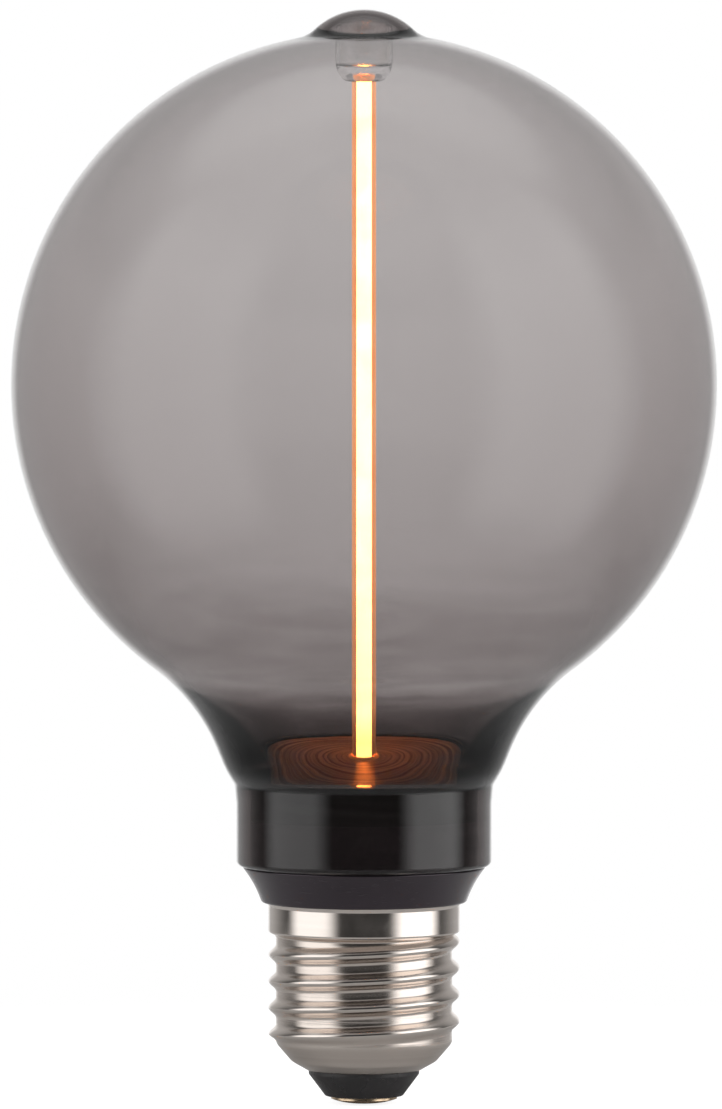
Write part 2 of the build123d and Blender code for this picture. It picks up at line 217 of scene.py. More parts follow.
# Studio light by direction: turn from the front, rise above the level and angle from straight behind
LEFT_BOX = (-96.0, -38.0)
LEFT_BOX_LIGHT = 1.3
RIGHT_BOX = (40.0, 96.0)
RIGHT_BOX_LIGHT = 1.7
BOX_SOFT = 12.0
BOX_FOOT = (-65.0, -25.0)  # rises between which the boxes come in
BOX_HEAD = (30.0, 70.0)  # rises between which they go out again
CARD_EDGE = (14.0, 27.0)  # angles between which the card behind dims to its rim
CARD_FADE = (27.0, 85.0)  # angles between which the rim dims to the dark studio
CARD_RIM_LIGHT = 0.45
CARD_FADE_LIGHT = 0.41
BAND_RISES = (46.0, 80.0)  # band of light overhead
BAND_SOFT = 8.0
BAND_TURN = (75.0, 95.0)  # angles between which the band dims towards the front
BAND_BACK_LIGHT = 0.8
BAND_FRONT_LIGHT = 0.3
GLOW_RISES = (-45.0, -22.0)  # glow from below
GLOW_LIGHT = 0.6
GLOW_TURN = (35.0, 80.0)  # turns between which the glow grows towards the sides
GLOW_FRONT_SHARE = 0.2
WHITE_RISES = (14.0, 27.0)  # slopes between which the white seen through glass dims
STEEP_RISES = (45.0, 65.0)  # slopes between which it comes back
DIM_WHITE = 0.45

# Soft boxes: place and size in metres, and power in watts
LAMPS = {
    "left_soft_box": ((-0.75, -0.75, 0.55), (0.7, 0.9), 3.0),
    "right_soft_box": ((0.95, -0.55, 0.55), (0.7, 0.9), 3.0),
    "top_soft_box": ((0.0, 0.1, 1.2), (0.9, 0.9), 4.0),
}
LAMP_AIM = (0.0, 0.0, 0.07)


def reach(node):
    """A node's largest radius, lowest level and highest level."""
    low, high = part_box(node)
    return high[0] / MM, low[2] / MM, high[2] / MM


globe_r, glass_foot, apex_z = reach("glass_globe")
tip_cup_r, tip_cup_z, tip_cup_top = reach("tip_cup")
tube_r, tube_z, tube_top = reach("light_tube")
core_r, core_z, core_top = reach("glow_core")
seat_r, seat_z, seat_top = reach("tube_seat")
disc_r, disc_z, disc_top = reach("turned_disc")
cup_r, cup_z, cup_top = reach("heat_sink_cup")
boss_z = reach("base_housing")[1]
lip_r, shell_z, shell_top = reach("screw_shell")
insulator_z, insulator_top = reach("cap_insulator")[1:]
contact_r, _, shank_top = reach("centre_contact")
lead_z = sum(reach("neutral_lead")[1:]) / 2
skirt_top = glass_foot - GLUE_LINE
neck_r = cup_r + GLASS_CLEARANCE + NECK_WALL
neck_top = skirt_top + NECK_RISE
stop_z = cup_top + GLUE_LINE
globe_z = apex_z - TIP_RISE - globe_r


# Outlines

def arc(centre, radius, first, last, steps):
    """Points of an arc, with angles in radians from the outward direction."""
    turn = (last - first) / steps
    return [
        (centre[0] + radius * cos(first + turn * i), centre[1] + radius * sin(first + turn * i))
        for i in range(steps + 1)
    ]


def rounded(corners, steps=CORNER_STEPS):
    """Outline through corners given as radius, height and rounding, where 0 leaves a corner sharp."""
    points = []
    for index, (across, up, rounding) in enumerate(corners):
        here = Vector((across, up))
        if not rounding:
            points.append(here)
            continue
        back = (Vector(corners[index - 1][:2]) - here).normalized()
        ahead = (Vector(corners[(index + 1) % len(corners)][:2]) - here).normalized()
        half = back.angle(ahead) / 2
        centre = here + (back + ahead).normalized() * rounding / sin(half)
        start = here + back * rounding / tan(half) - centre
        end = here + ahead * rounding / tan(half) - centre
        points += [centre + start.slerp(end, i / steps) * rounding for i in range(steps + 1)]
    return [tuple(point) for point in points]


def dense(points, gap):
    """The outline with extra points in its long stretches, at least a gap apart."""
    filled = [points[0]]
    for start, end in zip(points, points[1:]):
        steps = max(1, int((Vector(end) - Vector(start)).length / gap))
        filled += [tuple(Vector(start).lerp(Vector(end), i / steps)) for i in range(1, steps + 1)]
    return filled


def bulb_side(foot, lean, flare_r, globe, middle, tip, top):
    """Points up one side of the bulb from the foot of its shoulder: flare, globe and domed tip."""
    along = Vector((sin(radians(lean)), cos(radians(lean))))
    out = Vector((along.y, -along.x))
    centre = Vector((0, middle))
    distance = out.dot(Vector(foot) - centre) + flare_r
    flare = centre + out * distance - along * sqrt((globe + flare_r) ** 2 - distance**2)
    tip_z = top - tip
    span = tip_z - middle
    tip_up = ((globe + TIP_ROUND) ** 2 - (tip + TIP_ROUND) ** 2 + span**2) / (2 * span)
    hollow = (sqrt((globe + TIP_ROUND) ** 2 - tip_up**2), middle + tip_up)
    low = atan2(flare.y - middle, flare.x)
    high = atan2(tip_up, hollow[0])
    crown = atan2(hollow[1] - tip_z, hollow[0])
    points = [tuple(foot)]
    points += arc(flare, flare_r, pi - radians(lean), pi + low, FLARE_STEPS)
    points += arc((0, middle), globe, low, high, GLOBE_STEPS)[1:]
    points += arc(hollow, TIP_ROUND, pi + high, pi + crown, TIP_ROUND_STEPS)[1:]
    points += arc((0, tip_z), tip, crown, pi / 2, TIP_STEPS)[1:]
    return points[:-1] + [(0.0, top)]


# Meshes

def turned(name, outline, closed=False, steps=ROUND_STEPS):
    """Object turned round the axis from an outline that runs outwards along the bottom and up the outside."""
    rings = []
    places = []
    for across, up in outline:
        count = 1 if across < ON_AXIS else steps
        rings.append(range(len(places), len(places) + count))
        for i in range(count):
            angle = 2 * pi * i / steps
            places.append((across * MM * cos(angle), across * MM * sin(angle), up * MM))
    faces = []
    pairs = list(zip(rings, rings[1:]))
    if closed:
        pairs.append((rings[-1], rings[0]))
    for low, high in pairs:
        for i in range(steps):
            after = i + 1
            corners = [low[i % len(low)], low[after % len(low)], high[after % len(high)], high[i % len(high)]]
            corners = list(dict.fromkeys(corners))
            if len(corners) > 2:
                faces.append(corners)
    mesh = bpy.data.meshes.new(name)
    mesh.from_pydata(places, [], faces)
    piece = bpy.data.objects.new(name, mesh)
    bpy.context.scene.collection.objects.link(piece)
    return piece


def smooth(piece, sharp_turn=SHARP_TURN):
    """Smooth shading, with the edges that turn further left sharp."""
    piece.data.shade_smooth()
    piece.data.set_sharp_from_angle(angle=radians(sharp_turn))


def settle(piece):
    """Make the piece's modifiers part of its mesh."""
    made = bpy.data.meshes.new_from_object(piece.evaluated_get(bpy.context.evaluated_depsgraph_get()))
    piece.modifiers.clear()
    piece.data = made


def drill(piece, ways):
    """Cut round ways through the piece, each given as radius, length, middle and turn about Y."""
    for radius, length, middle, turn in ways:
        bpy.ops.mesh.primitive_cylinder_add(
            vertices=DRILL_STEPS, radius=radius * MM, depth=length * MM,
            location=[v * MM for v in middle], rotation=(0, turn, 0),
        )
        bit = bpy.context.object
        cut = piece.modifiers.new("Way", "BOOLEAN")
        cut.operation = "DIFFERENCE"
        cut.object = bit
        settle(piece)
        bpy.data.objects.remove(bit)


def finished(piece, node, material):
    """The piece in its finish, in place of the node."""
    piece.data.materials.clear()
    piece.data.materials.append(material)
    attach(piece, "root")
    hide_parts(node)


# Node trees

NUMBER = "NodeSocketFloat"


def feed(tree, socket, value):
    """A socket joined to another, or set to a plain value."""
    if isinstance(value, bpy.types.NodeSocket):
        tree.links.new(value, socket)
    else:
        socket.default_value = value


def node(tree, kind, inputs=None, **settings):
    """A new node with its settings, and its inputs set or joined by name or by number."""
    made = tree.nodes.new(kind)
    for key, value in settings.items():
        setattr(made, key, value)
    for key, value in (inputs or {}).items():
        feed(tree, made.inputs[key], value)
    return made


def sums(tree, operation, *values):
    """The result of one step of arithmetic."""
    made = tree.nodes.new("ShaderNodeMath")
    made.operation = operation
    for socket, value in zip(made.inputs, values):
        feed(tree, socket, value)
    return made.outputs[0]


def ramp(tree, value, low, high, low_to=0.0, high_to=1.0):
    """The value taken smoothly from one range to another."""
    made = node(tree, "ShaderNodeMapRange", interpolation_type="SMOOTHSTEP")
    for socket, number in zip(made.inputs, (value, low, high, low_to, high_to)):
        feed(tree, socket, number)
    return made.outputs[0]


def blend(tree, factor, first, second):
    """A colour between two others, by the mixing node's own sockets for colours."""
    made = node(tree, "ShaderNodeMix", data_type="RGBA")
    feed(tree, made.inputs[0], factor)
    feed(tree, made.inputs[6], first)
    feed(tree, made.inputs[7], second)
    return made.outputs[2]


def noise(tree, dimensions="3D", **inputs):
    """The height of a noise texture."""
    return node(tree, "ShaderNodeTexNoise", inputs, noise_dimensions=dimensions).outputs[0]


def object_place(tree):
    """The shaded point in the piece's own coordinates, in metres."""
    return node(tree, "ShaderNodeTexCoord").outputs["Object"]


def round_axis(tree, position):
    """Distance from the axis, angle about it and level of a position."""
    parts = node(tree, "ShaderNodeSeparateXYZ", {0: position}).outputs
    squares = [sums(tree, "MULTIPLY", parts[i], parts[i]) for i in range(2)]
    radius = sums(tree, "SQRT", sums(tree, "ADD", *squares))
    return radius, sums(tree, "ARCTAN2", parts[1], parts[0]), parts[2]


def group_of(kind, name, inputs, outputs):
    """A new node group with named inputs and outputs, and its two end nodes."""
    tree = bpy.data.node_groups.new(name, kind)
    for label, socket, value in inputs:
        made = tree.interface.new_socket(name=label, in_out="INPUT", socket_type=socket)
        if value is not None:
            made.default_value = value
    for label, socket in outputs:
        tree.interface.new_socket(name=label, in_out="OUTPUT", socket_type=socket)
    return tree, tree.nodes.new("NodeGroupInput"), tree.nodes.new("NodeGroupOutput")


# Shapes that follow a rule

def reshaping(name, sizes):
    """A geometry tree that takes a sheet of mesh, named sizes and a finish."""
    inputs = [("Sheet", "NodeSocketGeometry", None)]
    inputs += [(label, NUMBER, size * MM) for label, size in sizes]
    inputs.append(("Finish", "NodeSocketMaterial", None))
    return group_of("GeometryNodeTree", name, inputs, [("Piece", "NodeSocketGeometry")])


def moved_and_dressed(tree, given, result, offset):
    """The end of a geometry tree: points moved, instances made real and the finish set."""
    places = {"Geometry": given.outputs["Sheet"], "Offset": offset}
    moved = node(tree, "GeometryNodeSetPosition", places).outputs[0]
    whole = node(tree, "GeometryNodeRealizeInstances", {0: moved}).outputs[0]
    dressing = {"Geometry": whole, "Material": given.outputs["Finish"]}
    dressed = node(tree, "GeometryNodeSetMaterial", dressing).outputs[0]
    tree.links.new(dressed, result.inputs[0])


def rolled_thread():
    """Geometry tree that rolls a helical ridge into a turned sheet."""
    tree, given, result = reshaping("Rolled thread", [
        ("Root radius", ROOT_R), ("Crest radius", CREST_R), ("Pitch", THREAD_PITCH), ("Ridge width", RIDGE_W),
        ("Start level", 0.0), ("Cone top level", 0.0), ("Run in", RUN_IN),
    ])
    size = given.outputs
    place = node(tree, "GeometryNodeInputPosition").outputs[0]
    inset = node(tree, "GeometryNodeInputNamedAttribute", {"Name": "inset"}, data_type="FLOAT").outputs[0]
    radius, turn, level = round_axis(tree, place)
    climb = sums(tree, "MULTIPLY", sums(tree, "DIVIDE", turn, 2 * pi), size["Pitch"])
    off = sums(tree, "SUBTRACT", sums(tree, "SUBTRACT", level, size["Start level"]), climb)
    half_pitch = sums(tree, "MULTIPLY", size["Pitch"], 0.5)
    off = sums(tree, "WRAP", off, half_pitch, sums(tree, "MULTIPLY", half_pitch, -1.0))
    across = sums(tree, "DIVIDE", sums(tree, "ABSOLUTE", off), size["Ridge width"])
    across = sums(tree, "MINIMUM", across, 0.5)
    wave = sums(tree, "COSINE", sums(tree, "MULTIPLY", across, 2 * pi))
    swell = sums(tree, "ADD", sums(tree, "MULTIPLY", wave, 0.5), 0.5)
    height = sums(tree, "SUBTRACT", size["Crest radius"], size["Root radius"])
    cone_top = size["Cone top level"]
    grown = ramp(tree, level, cone_top, sums(tree, "ADD", cone_top, size["Run in"]))
    ridge = sums(tree, "MULTIPLY", sums(tree, "MULTIPLY", swell, height), grown)
    wanted = sums(tree, "ADD", size["Root radius"], ridge)
    proud = sums(tree, "SUBTRACT", wanted, sums(tree, "ADD", radius, inset))
    lift = sums(tree, "MINIMUM", ridge, sums(tree, "MAXIMUM", proud, 0.0))
    way = {0: sums(tree, "COSINE", turn), 1: sums(tree, "SINE", turn)}
    outward = node(tree, "ShaderNodeCombineXYZ", way).outputs[0]
    offset = node(tree, "ShaderNodeVectorMath", {0: outward, "Scale": lift}, operation="SCALE").outputs[0]
    moved_and_dressed(tree, given, result, offset)
    return tree


def turned_grooves():
    """Geometry tree that cuts fine concentric grooves into the top of a turned disc."""
    tree, given, result = reshaping("Turned grooves", [
        ("Groove pitch", GROOVE_PITCH), ("Groove depth", GROOVE_DEPTH),
        ("Inner radius", 0.0), ("Outer radius", 0.0), ("Face level", 0.0),
    ])
    size = given.outputs
    place = node(tree, "GeometryNodeInputPosition").outputs[0]
    radius, _, level = round_axis(tree, place)
    count = sums(tree, "DIVIDE", sums(tree, "SUBTRACT", radius, size["Inner radius"]), size["Groove pitch"])
    wave = sums(tree, "COSINE", sums(tree, "MULTIPLY", count, 2 * pi))
    half_depth = sums(tree, "MULTIPLY", size["Groove depth"], 0.5)
    depth = sums(tree, "MULTIPLY", sums(tree, "SUBTRACT", wave, 1.0), half_depth)
    inside = sums(tree, "GREATER_THAN", radius, size["Inner radius"])
    inside = sums(tree, "MULTIPLY", inside, sums(tree, "LESS_THAN", radius, size["Outer radius"]))
    face_foot = sums(tree, "SUBTRACT", size["Face level"], FACE_DEPTH * MM)
    on_face = sums(tree, "GREATER_THAN", level, face_foot)
    cut = sums(tree, "MULTIPLY", sums(tree, "MULTIPLY", inside, on_face), depth)
    offset = node(tree, "ShaderNodeCombineXYZ", {2: cut}).outputs[0]
    moved_and_dressed(tree, given, result, offset)
    return tree


def reshape(piece, tree, sizes):
    """Let a geometry tree work on the piece's mesh, with the sizes given by their names."""
    work = piece.modifiers.new(tree.name, "NODES")
    work.node_group = tree
    for item in tree.interface.items_tree:
        if item.name in sizes and item.in_out == "INPUT":
            work[item.identifier] = sizes[item.name]
    settle(piece)


# Effects that several finishes share

def fine_grain():
    """Height and mottling of a fine, even grain."""
    tree, given, result = group_of(
        "ShaderNodeTree", "Fine grain", [("Size", NUMBER, 0.0003)], [("Height", NUMBER), ("Mottle", NUMBER)]
    )
    place = object_place(tree)
    scale = sums(tree, "DIVIDE", 1.0, given.outputs["Size"])
    fine = noise(tree, Vector=place, Scale=scale, Detail=3.0)
    broad = noise(tree, Vector=place, Scale=sums(tree, "DIVIDE", scale, MOTTLE_SPREAD), Detail=4.0)
    tree.links.new(fine, result.inputs["Height"])
    tree.links.new(ramp(tree, broad, *MOTTLE_NOISE), result.inputs["Mottle"])
    return tree


def handling_marks():
    """Soft smudges and hair scratches left by handling."""
    tree, given, result = group_of(
        "ShaderNodeTree", "Handling marks", [("Size", NUMBER, 0.01)],
        [("Smudge", NUMBER), ("Scratch", NUMBER)],
    )
    place = object_place(tree)
    scale = sums(tree, "DIVIDE", 1.0, given.outputs["Size"])
    cloud = noise(tree, Vector=place, Scale=scale, Detail=5.0, Distortion=0.6)
    tree.links.new(ramp(tree, cloud, *SMUDGE_NOISE), result.inputs["Smudge"])
    stretched = node(
        tree, "ShaderNodeMapping", {"Vector": place, "Rotation": SCRATCH_TILT, "Scale": SCRATCH_STRETCH}
    ).outputs[0]
    finer = sums(tree, "MULTIPLY", scale, SCRATCH_FINENESS)
    hairs = noise(tree, Vector=stretched, Scale=finer, Detail=2.0, Distortion=0.4)
    tree.links.new(ramp(tree, hairs, *SCRATCH_NOISE), result.inputs["Scratch"])
    return tree


def turning_marks():
    """Fine rings about the axis, of uneven strength."""
    tree, given, result = group_of(
        "ShaderNodeTree", "Turning marks", [("Spacing", NUMBER, 0.0002)],
        [("Height", NUMBER), ("Shade", NUMBER)],
    )
    radius, _, level = round_axis(tree, object_place(tree))
    walk = sums(tree, "DIVIDE", sums(tree, "ADD", radius, level), given.outputs["Spacing"])
    rings = noise(tree, "1D", W=walk, Scale=1.0, Detail=3.0)
    wide = noise(tree, "1D", W=sums(tree, "DIVIDE", walk, SHADE_SPREAD), Scale=1.0)
    tree.links.new(rings, result.inputs["Height"])
    tree.links.new(ramp(tree, wide, *SHADE_NOISE), result.inputs["Shade"])
    return tree


EFFECTS = {made.name: made for made in (fine_grain(), handling_marks(), turning_marks())}


def effect(tree, name, **inputs):
    """One shared effect placed in a finish, with its own values."""
    made = tree.nodes.new("ShaderNodeGroup")
    made.node_tree = EFFECTS[name]
    for label, value in inputs.items():
        feed(tree, made.inputs[label], value)
    return made.outputs


# Finishes

def finish(name, **constants):
    """A material with one surface shader, and the constants set on the shader's own sockets."""
    made = bpy.data.materials.new(name)
    made.use_nodes = True
    tree = made.node_tree
    tree.nodes.clear()
    shader = tree.nodes.new("ShaderNodeBsdfPrincipled")
    out = tree.nodes.new("ShaderNodeOutputMaterial")
    tree.links.new(shader.outputs[0], out.inputs["Surface"])
    for label, value in constants.items():
        shader.inputs[label.replace("_", " ")].default_value = value
    return made, tree, shader


def output(tree, label):
    """A socket of the finish's output node."""
    return tree.get_output_node("ALL").inputs[label]


def dress(tree, shader, **effects):
    """Join effects to the shader's sockets of the same names."""
    for label, value in effects.items():
        tree.links.new(value, shader.inputs[label.replace("_", " ")])


def bump(tree, shader, height, distance):
    made = node(tree, "ShaderNodeBump", {"Height": height, "Distance": distance})
    dress(tree, shader, Normal=made.outputs[0])


def brush_round(tree, shader):
    """Let the brushing run round the axis."""
    dress(tree, shader, Tangent=node(tree, "ShaderNodeTangent", direction_type="RADIAL", axis="Z").outputs[0])


def smudged(tree, marks, clean, dull):
    """Roughness that rises from clean to dull where the surface is smudged."""
    return ramp(tree, marks["Smudge"], 0.0, 1.0, clean, dull)


def tint(value, red=1.0, green=1.0, blue=1.0):
    return (value * red, value * green, value * blue, 1.0)


def smoke_glass():
    made, tree, shader = finish(
        "smoke_glass", Roughness=0.0, IOR=1.5, Transmission_Weight=1.0, Specular_Tint=tint(0.5)
    )
    place = object_place(tree)
    height = node(tree, "ShaderNodeSeparateXYZ", {0: place}).outputs[2]
    swirl_from, swirl_to = [level * MM for level in SWIRL_LEVELS]
    gloss_from, gloss_to = [level * MM for level in GLOSS_LEVELS]
    drawn = node(tree, "ShaderNodeMapping", {"Vector": place, "Scale": SWIRL_STRETCH}).outputs[0]
    swirl = noise(tree, Vector=drawn, Scale=SWIRL_FINENESS, Detail=2.0, Distortion=1.2)
    low = ramp(tree, height, swirl_from, swirl_to, 1.0, 0.0)
    shade = sums(tree, "MULTIPLY", low, ramp(tree, swirl, *MOTTLE_NOISE, SWIRL_LEAST, 1.0))
    marks = effect(tree, "Handling marks", Size=0.03)
    clean = blend(tree, marks["Smudge"], tint(0.95), tint(0.935))
    dress(
        tree, shader, Base_Color=blend(tree, shade, clean, tint(0.62, 1.0, 0.97, 0.97)),
        Coat_Weight=ramp(tree, height, gloss_from, gloss_to, 0.6, 0.0),
    )
    smoke = node(tree, "ShaderNodeVolumeAbsorption", {"Color": SMOKE, "Density": SMOKE_DENSITY})
    tree.links.new(smoke.outputs[0], output(tree, "Volume"))
    return made


def clear_glass():
    made, tree, shader = finish("clear_glass", Roughness=0.0, IOR=1.5, Transmission_Weight=1.0)
    marks = effect(tree, "Handling marks", Size=0.006)
    dress(tree, shader, Base_Color=blend(tree, marks["Smudge"], tint(0.97), tint(0.92, 1.0, 0.97, 0.94)))
    return made


def amber_tube():
    # The amber emission is painted glow: it stands in for the core's light scattered in the tube's wall,
    # though the tube is no lamp.
    made, tree, shader = finish(
        "amber_tube", Roughness=0.0, IOR=1.5, Transmission_Weight=1.0, Emission_Strength=0.25
    )
    smudge = effect(tree, "Handling marks", Size=0.008)["Smudge"]
    dress(
        tree, shader, Base_Color=blend(tree, smudge, (0.9, 0.52, 0.27, 1.0), (0.9, 0.47, 0.22, 1.0)),
        Emission_Color=blend(tree, smudge, (1.0, 0.40, 0.15, 1.0), (1.0, 0.34, 0.11, 1.0)),
    )
    return made


def glowing_core():
    made, tree, shader = finish("glowing_core", Roughness=0.6, Emission_Strength=42.0)
    grain = effect(tree, "Fine grain", Size=0.0009)
    hot = (1.0, 0.62, 0.26, 1.0)
    warm = (1.0, 0.56, 0.21, 1.0)
    dress(
        tree, shader, Emission_Color=blend(tree, grain["Mottle"], hot, warm),
        Base_Color=blend(tree, grain["Height"], tint(0.8, 1.0, 0.7, 0.4), tint(0.7, 1.0, 0.65, 0.35)),
    )
    return made


def amber_plastic():
    # The emission is painted glow: the seat shines in its own amber colour though it is no lamp.
    made, tree, shader = finish("amber_plastic", IOR=1.5, Emission_Strength=0.9)
    grain = effect(tree, "Fine grain", Size=0.0004)
    amber = blend(tree, grain["Mottle"], (0.85, 0.36, 0.10, 1.0), (0.75, 0.28, 0.07, 1.0))
    rough = ramp(tree, grain["Height"], *GRAIN_NOISE, 0.25, 0.4)
    dress(tree, shader, Base_Color=amber, Emission_Color=amber, Roughness=rough)
    return made


def turned_metal():
    made, tree, shader = finish("turned_metal", Metallic=0.35, Anisotropic=0.5, Anisotropic_Rotation=0.25)
    rings = effect(tree, "Turning marks", Spacing=0.00009)
    marks = effect(tree, "Handling marks", Size=0.004)
    # The orange-brown colour, lighter and darker ring by ring, is the metal's own tone with the rod's orange
    # glow painted into it.
    base = blend(tree, rings["Shade"], (0.36, 0.20, 0.11, 1.0), (1.0, 0.62, 0.38, 1.0))
    dress(tree, shader, Base_Color=base, Roughness=smudged(tree, marks, 0.30, 0.42))
    bump(tree, shader, rings["Height"], 0.00003)
    brush_round(tree, shader)
    return made


def black_metal():
    made, tree, shader = finish("black_metal", IOR=1.4)
    rings = effect(tree, "Turning marks", Spacing=0.00015)
    marks = effect(tree, "Handling marks", Size=0.005)
    base = blend(tree, rings["Shade"], tint(0.008), tint(0.014, 1.0, 0.95, 0.93))
    dress(tree, shader, Base_Color=base, Roughness=smudged(tree, marks, 0.40, 0.50))
    return made


def charcoal_plastic():
    made, tree, shader = finish(
        "charcoal_plastic", IOR=1.65, Specular_Tint=tint(1.0, 1.0, 0.85, 0.97), Coat_Weight=0.2,
        Coat_Roughness=0.2,
    )
    grain = effect(tree, "Fine grain", Size=0.00022)
    marks = effect(tree, "Handling marks", Size=0.009)
    base = blend(tree, grain["Mottle"], tint(0.009, 1.0, 0.75, 0.97), tint(0.012, 1.0, 0.75, 0.97))
    base = blend(tree, marks["Scratch"], base, tint(0.05, 1.0, 0.92, 0.97))
    dress(tree, shader, Base_Color=base, Roughness=smudged(tree, marks, 0.20, 0.27))
    bump(tree, shader, grain["Height"], 0.000018)
    return made


def nickel_plate():
    made, tree, shader = finish("nickel_plate", Metallic=1.0, Anisotropic=0.3)
    rings = effect(tree, "Turning marks", Spacing=0.0003)
    marks = effect(tree, "Handling marks", Size=0.006)
    radius = round_axis(tree, object_place(tree))[0]
    crest = ramp(tree, radius, (CREST_R - CREST_WEAR) * MM, CREST_R * MM)
    base = blend(tree, rings["Shade"], (0.74, 0.66, 0.60, 1.0), (0.80, 0.72, 0.66, 1.0))
    base = blend(tree, sums(tree, "MULTIPLY", crest, 0.5), base, (0.84, 0.78, 0.73, 1.0))
    base = blend(tree, sums(tree, "MULTIPLY", marks["Scratch"], 0.35), base, (0.55, 0.48, 0.43, 1.0))
    polish = sums(tree, "MULTIPLY", crest, 0.05)
    rough = sums(tree, "SUBTRACT", smudged(tree, marks, 0.16, 0.24), polish)
    dress(tree, shader, Base_Color=base, Roughness=rough)
    bump(tree, shader, rings["Height"], 0.000006)
    brush_round(tree, shader)
    return made


def black_insulator():
    made, tree, shader = finish("black_insulator", IOR=1.65)
    grain = effect(tree, "Fine grain", Size=0.0005)
    marks = effect(tree, "Handling marks", Size=0.004)
    base = blend(tree, grain["Mottle"], tint(0.016, 1.0, 0.9, 0.95), tint(0.023, 1.0, 0.9, 0.95))
    dress(tree, shader, Base_Color=base, Roughness=smudged(tree, marks, 0.22, 0.42))
    bump(tree, shader, grain["Height"], 0.00002)
    return made


def contact_brass():
    made, tree, shader = finish("contact_brass", Metallic=1.0)
    rings = effect(tree, "Turning marks", Spacing=0.00025)
    marks = effect(tree, "Handling marks", Size=0.003)
    base = blend(tree, rings["Shade"], (0.80, 0.60, 0.40, 1.0), (0.88, 0.69, 0.48, 1.0))
    base = blend(tree, marks["Smudge"], base, (0.66, 0.48, 0.32, 1.0))
    base = blend(tree, sums(tree, "MULTIPLY", marks["Scratch"], 0.6), base, (0.80, 0.64, 0.45, 1.0))
    dress(tree, shader, Base_Color=base, Roughness=smudged(tree, marks, 0.25, 0.45))
    bump(tree, shader, rings["Height"], 0.00001)
    return made


def grained(name, dark, light, rough, grain_size, depth, metallic=0.0):
    """A plain inner finish: two mottled colours with a fine grain."""
    made, tree, shader = finish(name, Metallic=metallic)
    grain = effect(tree, "Fine grain", Size=grain_size)
    dress(
        tree, shader, Base_Color=blend(tree, grain["Mottle"], dark, light),
        Roughness=ramp(tree, grain["Height"], *GRAIN_NOISE, rough - ROUGH_SPREAD, rough + ROUGH_SPREAD),
    )
    bump(tree, shader, grain["Height"], depth)
    return made


# Pieces

def glass_globe():
    rim_z = glass_foot + RIM_ROUND
    bore = neck_r - NECK_WALL
    corner = (neck_r + NECK_FLARE, neck_top)
    low, high = radians(BULGE_LEAN), radians(SHOULDER_LEAN)
    bulge_middle = (corner[0] - BULGE_R * cos(low), corner[1] + BULGE_R * sin(low))
    bulge = arc(bulge_middle, BULGE_R, -low, -high, NECK_STEPS)
    outer = rounded([
        (neck_r, rim_z, 0), (neck_r, neck_top - NECK_FLARE_H, NECK_FLARE_ROUND), (*corner, NECK_ROUND),
        (*bulge[1], 0),
    ], NECK_STEPS)
    outer += bulge[2:-1] + bulb_side(bulge[-1], SHOULDER_LEAN, FLARE_R, globe_r, globe_z, TIP_R, apex_z)
    foot = (STOP_R, stop_z + STOP_H)
    inner = rounded([(bore, rim_z, 0), (bore, stop_z, 0), (STOP_R, stop_z, STOP_ROUND), (*foot, 0)])[:-1]
    inner += bulb_side(
        foot, HOLLOW_LEAN, HOLLOW_FLARE_R, globe_r - GLOBE_WALL, globe_z + HOLLOW_LIFT, TIP_HOLLOW_R,
        apex_z - TIP_WALL,
    )
    rim = arc((bore + RIM_ROUND, rim_z), RIM_ROUND, pi, 1.5 * pi, CORNER_STEPS)[1:]
    rim += arc((neck_r - RIM_ROUND, rim_z), RIM_ROUND, 1.5 * pi, 2 * pi, CORNER_STEPS)[:-1]
    piece = turned("smoke_globe", inner[::-1] + rim + outer)
    smooth(piece)
    finished(piece, "glass_globe", smoke_glass())


def tip_cup():
    mouth = SOCKET_R + TIP_CUP_WALL / 2
    shoulder = tip_cup_z + TIP_CUP_NOSE
    socket_top = tip_cup_z + SOCKET_DEPTH
    floor = socket_top + TIP_CUP_WALL
    socket = [(0.0, socket_top), (SOCKET_R, socket_top), (SOCKET_R, tip_cup_z)]
    nose = [
        (mouth + (tip_cup_r - mouth) * sin(turn), shoulder - TIP_CUP_NOSE * cos(turn))
        for turn in (pi / 2 * i / NOSE_STEPS for i in range(NOSE_STEPS + 1))
    ]
    inside = tip_cup_r - TIP_CUP_WALL
    wall = rounded([
        (tip_cup_r, shoulder, 0), (tip_cup_r, tip_cup_top, FIRE_POLISH), (inside, tip_cup_top, FIRE_POLISH),
        (inside, floor, TIP_CUP_WALL), (0.0, floor, 0),
    ])
    piece = turned("clear_tip_cup", socket + nose + wall[1:], steps=SMALL_STEPS)
    smooth(piece)
    finished(piece, "tip_cup", clear_glass())


def light_tube():
    outline = rounded([
        (TUBE_BORE_R, tube_z, TUBE_END_ROUND), (tube_r, tube_z, TUBE_END_ROUND),
        (tube_r, tube_top, TUBE_END_ROUND), (TUBE_BORE_R, tube_top, TUBE_END_ROUND),
    ], TUBE_END_STEPS)
    piece = turned("amber_light_tube", outline, closed=True, steps=TUBE_STEPS)
    smooth(piece)
    finished(piece, "light_tube", amber_tube())


def glow_core():
    outline = rounded([
        (0.0, core_z, 0), (core_r, core_z, FIRE_POLISH), (core_r, core_top, FIRE_POLISH), (0.0, core_top, 0)
    ])
    piece = turned("glowing_line", outline, steps=CORE_STEPS)
    smooth(piece)
    finished(piece, "glow_core", glowing_core())


def tube_seat():
    bore = tube_r + CLOSE_FIT
    height = seat_top - seat_z
    outline = rounded([
        (bore, seat_z, 0), (seat_r, seat_z, 0), (seat_r, seat_top, height * SEAT_OUTER_SHARE),
        (bore, seat_top, height * SEAT_INNER_SHARE),
    ])
    piece = turned("amber_tube_seat", outline, closed=True, steps=SMALL_STEPS)
    smooth(piece)
    finished(piece, "tube_seat", amber_plastic())


